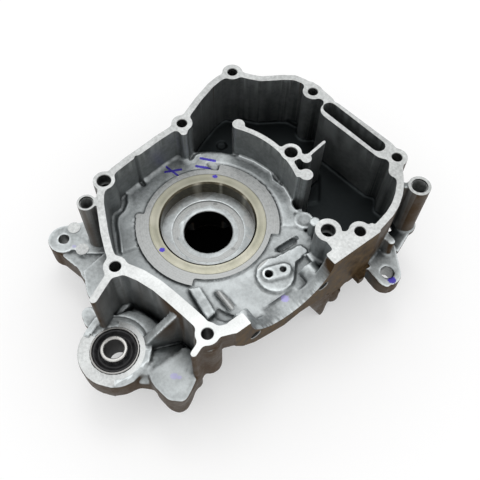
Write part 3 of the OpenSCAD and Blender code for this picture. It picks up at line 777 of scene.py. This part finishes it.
def shade_attributes(piece):
    """Stores each point's painted shade by how deep in the casting it lies, and its painted warm reflection by how
    much it faces the table below.
    """
    mesh = piece.data
    tree = BVHTree.FromPolygons([v.co for v in mesh.vertices], [p.vertices for p in mesh.polygons])
    golden = math.pi * (3 - math.sqrt(5))
    rays = []
    for index in range(14):
        height = 0.25 + 0.7 * (index + 0.5) / 14
        flat = math.sqrt(1 - height * height)
        rays.append(Vector((flat * math.cos(golden * index), flat * math.sin(golden * index), height)))
    reach = 0.16
    cavity = mesh.attributes.new("cavity", "FLOAT", "POINT")
    table = mesh.attributes.new("table", "FLOAT", "POINT")
    for vertex in mesh.vertices:
        start = vertex.co + vertex.normal * 0.6 * MM
        lit = [0, 0]
        seen = [0, 0]
        for ray in rays:
            if ray.dot(vertex.normal) > 0.05:
                seen[0] += 1
                lit[0] += tree.ray_cast(start, ray, reach)[0] is None
            down = Vector((ray.x, ray.y, -ray.z * 0.6))
            if down.dot(vertex.normal) > 0.05:
                seen[1] += 1
                lit[1] += tree.ray_cast(start, down, reach)[0] is None
        depth = 1 - lit[0] / seen[0] if seen[0] else 1
        place, up = vertex.co, vertex.normal.z
        # Painted shade is eased on the hanger's upward faces and deepened low in the oil chamber.
        if up > 0.5 and place.y < HANGER_Y:
            depth *= 0.55
        if place.y > OIL_Y and depth > 0.5:
            depth += 0.45 * min(1, max(0, (OIL_Z - place.z) / (18 * MM)))
        cavity.data[vertex.index].value = depth
        # The painted warm reflection goes on points open to the table below, and fades on faces that look up.
        open_below = lit[1] / seen[1] * min(1, seen[1] / 5) if seen[1] else 0
        table.data[vertex.index].value = open_below * min(1, max(0, 1.2 - 2.4 * up))
    even_shade(mesh, cavity.data, 6)
    even_shade(mesh, table.data, 5)
    edge_attribute(mesh)


def turned(name, profile, centre, finishes, sides=192):
    """Turns a closed outline of (radius, height, finish index) points round an axis along Z."""
    grid = bmesh.new()
    rings = []
    for radius, height, _ in profile:
        ring = []
        for step in range(sides):
            turn = 2 * math.pi * step / sides
            ring.append(grid.verts.new((centre[0] + radius * math.cos(turn),
                                        centre[1] + radius * math.sin(turn), height)))
        rings.append(ring)
    for index, ring in enumerate(rings):
        other = rings[(index + 1) % len(rings)]
        for step in range(sides):
            after = (step + 1) % sides
            face = grid.faces.new((ring[step], ring[after], other[after], other[step]))
            face.material_index = profile[index][2]
    bmesh.ops.recalc_face_normals(grid, faces=grid.faces)
    mesh = bpy.data.meshes.new(name)
    grid.to_mesh(mesh)
    grid.free()
    for finish in finishes:
        mesh.materials.append(finish)
    return link_mesh(name, mesh)


def node_group(name, sockets):
    """An empty Geometry Nodes group with its inputs and one geometry output."""
    group = bpy.data.node_groups.new(name, "GeometryNodeTree")
    for label, kind in sockets:
        group.interface.new_socket(label, in_out="INPUT", socket_type="NodeSocket" + kind)
    group.interface.new_socket("Geometry", in_out="OUTPUT", socket_type="NodeSocketGeometry")
    return group, group.nodes.new("NodeGroupInput").outputs


def finish_group(group, feed, points, instance):
    """Puts the instance on the points, makes it real and gives it the finish."""
    placed = paste(group, "GeometryNodeInstanceOnPoints", Points=points, Instance=instance)
    real = paste(group, "GeometryNodeRealizeInstances", Geometry=placed.outputs["Instances"])
    skin = paste(group, "GeometryNodeSetMaterial", Geometry=real.outputs["Geometry"], Material=feed["Finish"])
    end = group.nodes.new("NodeGroupOutput")
    group.links.new(skin.outputs["Geometry"], end.inputs["Geometry"])
    return group


def thread_group():
    """Turns of a thread: rings in a row from the mouth of a hole downward."""
    group, feed = node_group("Thread turns", [
        ("Mouth", "Vector"), ("Step", "Vector"), ("Radius", "Float"), ("Tooth", "Float"), ("Turns", "Int"),
        ("Finish", "Material")])
    row = paste(group, "GeometryNodeMeshLine", Count=feed["Turns"], Offset=feed["Step"])
    group.links.new(feed["Mouth"], row.inputs["Start Location"])
    ring = paste(group, "GeometryNodeCurvePrimitiveCircle", Resolution=40, Radius=feed["Radius"])
    tooth = paste(group, "GeometryNodeCurvePrimitiveCircle", Resolution=6, Radius=feed["Tooth"])
    turn = paste(group, "GeometryNodeCurveToMesh", Curve=ring.outputs["Curve"])
    group.links.new(tooth.outputs["Curve"], turn.inputs["Profile Curve"])
    return finish_group(group, feed, row.outputs["Mesh"], turn.outputs["Mesh"])


def spot_group():
    """A low disc on each point of the mesh that it is given."""
    group, feed = node_group("Raised spots", [
        ("Spots", "Geometry"), ("Radius", "Float"), ("Height", "Float"), ("Finish", "Material")])
    disc = paste(group, "GeometryNodeMeshCylinder", Vertices=36, Radius=feed["Radius"], Depth=feed["Height"])
    return finish_group(group, feed, feed["Spots"], disc.outputs["Mesh"])


def grown(name, points, group, values):
    """A piece grown by a node group from some points; each value goes in by its socket's identifier."""
    mesh = bpy.data.meshes.new(name)
    mesh.from_pydata(points, [], [])
    piece = link_mesh(name, mesh)
    maker = piece.modifiers.new("grow", "NODES")
    maker.node_group = group
    for item in group.interface.items_tree:
        if item.in_out == "INPUT" and item.name in values:
            maker[item.identifier] = values[item.name]
    apply_modifiers(piece)
    return piece


def smooth(piece, angle=40):
    """Shades a piece smooth, with sharp edges past the angle."""
    piece.data.shade_smooth()
    piece.data.set_sharp_from_angle(angle=math.radians(angle))
    flat = piece.modifiers.new("flat", "WEIGHTED_NORMAL")
    flat.keep_sharp = True
    flat.weight = 60
    apply_modifiers(piece)


def hand_in(piece, slot, *nodes):
    """Puts a finished piece in place of the solids that it stands for."""
    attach(piece, "root")
    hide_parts(*nodes)


class CRANKCASE_OT_casting(bpy.types.Operator):
    """Make the machined casting"""

    bl_idname = "crankcase.casting"
    bl_label = "Machined casting"

    def execute(self, context):
        look = context.scene.crankcase_casting
        piece = rough_casting(look)
        piece.data.materials.append(cast_skin(look))
        milled, drilled, lathed = cut_face(look), bored_face(look), turned_face(look)
        stained = gasket_face(look)
        far = 0.2
        machine(piece, block((-far, -far, PARTING_Z), (far, far, PARTING_Z + far)), milled)
        machine(piece, block((-far, -far, COVER_Z - far), (far, far, COVER_Z)), milled)
        machine(piece, block((BARREL_X, -50 * MM, -14 * MM), (BARREL_X + far, 59 * MM, far)), stained)
        machine(piece, block((BARREL_X, 50 * MM, -4.5 * MM), (BARREL_X + far, 72 * MM, far)), stained)
        for name, radius in (("post_bolt_1", 7.5 * MM), ("post_bolt_2", 9 * MM)):
            x, y, _ = MOUNTS[name]["pos_m"]
            machine(piece, cylinder(Vector((x, y, POST_TOP)), Vector((x, y, POST_TOP + 8 * MM)), radius), milled)
        machine(piece, cylinder(Vector((0, 0, INSERT_TOP)), Vector((0, 0, 0.06)), 47.6 * MM, sides=192), lathed)
        machine(piece, cylinder(Vector((0, 0, 0)), Vector((0, 0, 0.05)), INSERT_R, sides=192), lathed)
        machine(piece, cylinder(Vector((0, 0, -1 * MM)), Vector((0, 0, 0.05)), 24 * MM, sides=160), lathed)
        # Painted shade: the crank bore and the post holes get a nearly black wall.
        dark = bored_face(look, "dark bore", 0.05)
        for name, mount in MOUNTS.items():
            if name.startswith(("dowel", "baffle", "case_bolt", "post_bolt", "ear_bolt")):
                drill(piece, mount["pos_m"], mount["axis"], mount["dims"]["r_mm"] * MM, look.chamfer,
                      dark if name.startswith("post_bolt") else drilled,
                      through=not name.startswith(("dowel", "baffle")))
        studs = MOUNTS["cylinder_studs"]
        for side in (-1, 1):
            place = Vector(studs["pos_m"]) + Vector((0, side * studs["dims"]["spacing_x_mm"] * MM / 2, 0))
            drill(piece, place, studs["axis"], studs["dims"]["hole_r_mm"] * MM, look.chamfer, drilled, False)
        bore = MOUNTS["crank_bore"]["dims"]["r_mm"] * MM
        machine(piece, cylinder(Vector((0, 0, -24 * MM)), Vector((0, 0, 4 * MM)), bore, sides=128),
                dark)
        for radius, start, turn in ((18.6, 200, 300), (22.2, 208, 120)):
            machine(piece, wedge(BUSH_AT, radius * MM, start, turn, -0.25 * MM, 12 * MM), milled)
        machine(piece, hollow_tool(HOLLOW, (2.6 * MM, 7.5 * MM, 2.6 * MM), -6), piece.data.materials[0])
        even_out(piece, 4 * MM, 196000)
        shade_attributes(piece)
        smooth(piece)
        hand_in(piece, "cast_aluminium", CASTING)
        self.small_parts(milled, drilled)
        return {"FINISHED"}

    def small_parts(self, milled, drilled):
        """The threads in the two posts and the pin marks on the left ear."""
        turns = thread_group()
        for name, depth in (("post_bolt_1", 16), ("post_bolt_2", 18)):
            x, y, _ = MOUNTS[name]["pos_m"]
            radius = MOUNTS[name]["dims"]["r_mm"] * MM
            piece = grown("thread_" + name, [(0, 0, 0)], turns, {
                "Mouth": (x, y, POST_TOP - 1.4 * MM), "Step": (0, 0, -THREAD_PITCH), "Radius": radius,
                "Tooth": 0.5 * MM, "Turns": depth, "Finish": milled})
            smooth(piece, 60)
            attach(piece, "root")
        spots = grown("pin_marks", [[v * MM for v in spot] for spot in PIN_MARKS], spot_group(), {
            "Radius": 4.3 * MM, "Height": 0.9 * MM, "Finish": milled})
        smooth(spots, 40)
        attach(spots, "root")


class CRANKCASE_OT_insert(bpy.types.Operator):
    """Turn the steel bearing ring"""

    bl_idname = "crankcase.insert"
    bl_label = "Bearing ring"

    def execute(self, context):
        look = context.scene.crankcase_insert
        low, top = INSERT_LOW.z, INSERT_TOP
        outline = [
            (INSERT_R, low, 0), (INSERT_R, top - look.edge, 0), (INSERT_R - look.edge, top, 0),
            (SEAT_R + look.mouth + 0.25 * MM, top, 0), (SEAT_R + look.mouth, top - 0.12 * MM, 1),
            (SEAT_R, top - look.mouth, 1), (SEAT_R, low, 1),
        ]
        piece = turned("steel_bearing_ring", outline, (0, 0), [steel_ring(look), steel_bore(look)])
        smooth(piece, 25)
        hand_in(piece, "insert_steel", INSERT)
        return {"FINISHED"}


class CRANKCASE_OT_bush(bpy.types.Operator):
    """Make the rubber hanger bush and its two sleeves"""

    bl_idname = "crankcase.bush"
    bl_label = "Hanger bush"

    def execute(self, context):
        look = context.scene.crankcase_bush
        low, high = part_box("bush_outer_sleeve")
        outer_r = (high.x - low.x) / 2
        wall = 1.2 * MM
        bevel = 0.3 * MM
        outline = [
            (outer_r, low.z + bevel, 0), (outer_r, high.z - bevel, 0), (outer_r - bevel, high.z, 0),
            (outer_r - wall + bevel, high.z, 0), (outer_r - wall, high.z - bevel, 0),
            (outer_r - wall, low.z + bevel, 0), (outer_r - wall + bevel, low.z, 0), (outer_r - bevel, low.z, 0),
        ]
        piece = turned("outer_bush_sleeve", outline, BUSH_AT, [bright_steel(look, "sleeve steel", 0.7, 0.26)])
        smooth(piece, 25)
        hand_in(piece, "sleeve_steel", "bush_outer_sleeve")

        core_low, core_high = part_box("bush_inner_sleeve")
        core_r = (core_high.x - core_low.x) / 2
        bore_r = MOUNTS["hanger_bolt"]["dims"]["r_mm"] * MM
        rim = 0.5 * MM
        outline = [
            (core_r, core_low.z + rim, 0), (core_r, core_high.z - rim, 0), (core_r - rim, core_high.z, 0),
            (bore_r + rim, core_high.z, 0), (bore_r, core_high.z - rim, 1), (bore_r, core_low.z + rim, 1),
            (bore_r + rim, core_low.z, 0), (core_r - rim, core_low.z, 0),
        ]
        # Painted shade: the core bore's nearly black steel stands for the shade inside the tube.
        finishes = [bright_steel(look, "core steel", 1.05, 0.24), bright_steel(look, "core bore", 0.06, 0.55, 0.1)]
        piece = turned("inner_bush_sleeve", outline, BUSH_AT, finishes)
        smooth(piece, 25)
        hand_in(piece, "inner_steel", "bush_inner_sleeve")

        rubber_low, rubber_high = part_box("bush_rubber")
        inner, outer = core_r, outer_r - wall
        width = outer - inner
        steps = 14
        face = []
        for step in range(steps + 1):
            share = step / steps
            dip = look.groove * math.sin(math.pi * min(1, share * 1.45)) ** 0.8 if share < 0.69 else 0
            lip = 0.5 * MM * math.sin(math.pi * (share - 0.69) / 0.31) if share > 0.69 else 0
            face.append((inner + width * share, dip, lip))
        outline = [(radius, rubber_high.z - dip + lip, 0) for radius, dip, lip in face]
        outline += [(radius, rubber_low.z + dip - lip, 0) for radius, dip, lip in reversed(face)]
        piece = turned("moulded_rubber_ring", outline, BUSH_AT, [rubber(look)])
        smooth(piece, 60)
        hand_in(piece, "bush_rubber", "bush_rubber")
        return {"FINISHED"}


class CRANKCASE_OT_stage(bpy.types.Operator):
    """Set up the floor, the lamps and the camera"""

    bl_idname = "crankcase.stage"
    bl_label = "Stage"

    def execute(self, context):
        look = context.scene.crankcase_stage
        scene = context.scene
        lens = bpy.data.cameras.new("camera")
        lens.lens = look.lens
        lens.sensor_width = 36
        lens.clip_start = 0.01
        camera = bpy.data.objects.new("camera", lens)
        camera.location = look.camera_at
        camera.rotation_euler = Euler(look.camera_turn)
        scene.collection.objects.link(camera)
        scene.camera = camera
        self.floor(look)
        self.world(scene, look)
        self.lamp(scene, "key lamp", (-0.36, 0.27, 1.28), 0.5, look.key_power)
        scene.view_settings.view_transform = "Standard"
        return {"FINISHED"}

    def floor(self, look):
        half = 4.0
        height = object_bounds()[0][2]
        mesh = bpy.data.meshes.new("floor")
        mesh.from_pydata([(-half, -half, height), (half, -half, height), (half, half, height),
                          (-half, half, height)], [], [(0, 1, 2, 3)])
        finish, tree, shader, coords = material("pale floor")
        away = paste(tree, "ShaderNodeVectorMath", i0=coords, i1=(0, 0, -height))
        away.operation = "ADD"
        length = tree.nodes.new("ShaderNodeVectorMath")
        length.operation = "LENGTH"
        tree.links.new(away.outputs[0], length.inputs[0])
        # Painted shade: the black disc under the cover recess, which also gets none of the white lift.
        shadow_pad = spread(tree, length.outputs["Value"], look.shadow_pad_r - 1 * MM, look.shadow_pad_r)
        tree.links.new(blend_colours(tree, shadow_pad, (0.004, 0.004, 0.004), look.floor), shader.inputs["Base Color"])
        shader.inputs["Roughness"].default_value = 0.9
        shader.inputs["Specular IOR Level"].default_value = 0.0
        path = tree.nodes.new("ShaderNodeLightPath")
        seen = sum_of(tree, "MAXIMUM", path.outputs["Is Glossy Ray"], path.outputs["Is Transmission Ray"])
        seen = sum_of(tree, "MAXIMUM", path.outputs["Is Camera Ray"], seen)
        glow = paste(tree, "ShaderNodeEmission", Color=(1, 1, 1, 1), Strength=1.0)
        share = sum_of(tree, "MULTIPLY", sum_of(tree, "MULTIPLY", seen, shadow_pad), look.lift)
        mix = paste(tree, "ShaderNodeMixShader", Fac=share)
        tree.links.new(shader.outputs[0], mix.inputs[1])
        tree.links.new(glow.outputs[0], mix.inputs[2])
        tree.links.new(mix.outputs[0], tree.nodes["Material Output"].inputs["Surface"])
        mesh.materials.append(finish)
        link_mesh("floor", mesh)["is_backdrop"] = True

    def world(self, scene, look):
        world = bpy.data.worlds.new("studio")
        world.use_nodes = True
        tree = world.node_tree
        path = tree.nodes.new("ShaderNodeLightPath")
        sharp = sum_of(tree, "MAXIMUM", path.outputs["Is Glossy Ray"], path.outputs["Is Transmission Ray"])
        shown = sum_of(tree, "MAXIMUM", path.outputs["Is Camera Ray"], sharp)
        back = tree.nodes["Background"]
        back.inputs["Color"].default_value = (1, 1, 1, 1)
        tree.links.new(spread(tree, shown, 0, 1, look.sky, 1.0), back.inputs["Strength"])
        scene.world = world

    def lamp(self, scene, name, place, size, power):
        light = bpy.data.lights.new(name, "AREA")
        light.size = size
        light.energy = power
        made = bpy.data.objects.new(name, light)
        made.location = place
        made.rotation_euler = (-Vector(place)).to_track_quat("-Z", "Y").to_euler()
        scene.collection.objects.link(made)


class CRANKCASE_PT_panel(bpy.types.Panel):
    """Lists the crankcase's pieces"""

    bl_label = "Crankcase half"
    bl_idname = "CRANKCASE_PT_panel"
    bl_space_type = "VIEW_3D"
    bl_region_type = "UI"
    bl_category = "Crankcase"

    def draw(self, context):
        for operator in OPERATORS:
            self.layout.operator(operator.bl_idname)
        for name in SETTINGS:
            group = getattr(context.scene, name)
            box = self.layout.box()
            for key in group.bl_rna.properties.keys():
                if key not in ("rna_type", "name"):
                    box.prop(group, key)


OPERATORS = (CRANKCASE_OT_casting, CRANKCASE_OT_insert, CRANKCASE_OT_bush, CRANKCASE_OT_stage)
SETTINGS = {
    "crankcase_casting": CastingSettings,
    "crankcase_insert": InsertSettings,
    "crankcase_bush": BushSettings,
    "crankcase_stage": StageSettings,
}


def register():
    for group in SETTINGS.values():
        bpy.utils.register_class(group)
    for operator in OPERATORS:
        bpy.utils.register_class(operator)
    bpy.utils.register_class(CRANKCASE_PT_panel)
    for name, group in SETTINGS.items():
        setattr(bpy.types.Scene, name, bpy.props.PointerProperty(type=group))


def unregister():
    for name in SETTINGS:
        delattr(bpy.types.Scene, name)
    bpy.utils.unregister_class(CRANKCASE_PT_panel)
    for operator in OPERATORS:
        bpy.utils.unregister_class(operator)
    for group in SETTINGS.values():
        bpy.utils.unregister_class(group)


def main():
    register()
    bpy.ops.crankcase.stage()
    bpy.ops.crankcase.casting()
    bpy.ops.crankcase.insert()
    bpy.ops.crankcase.bush()


if __name__ == "__main__":
    main()
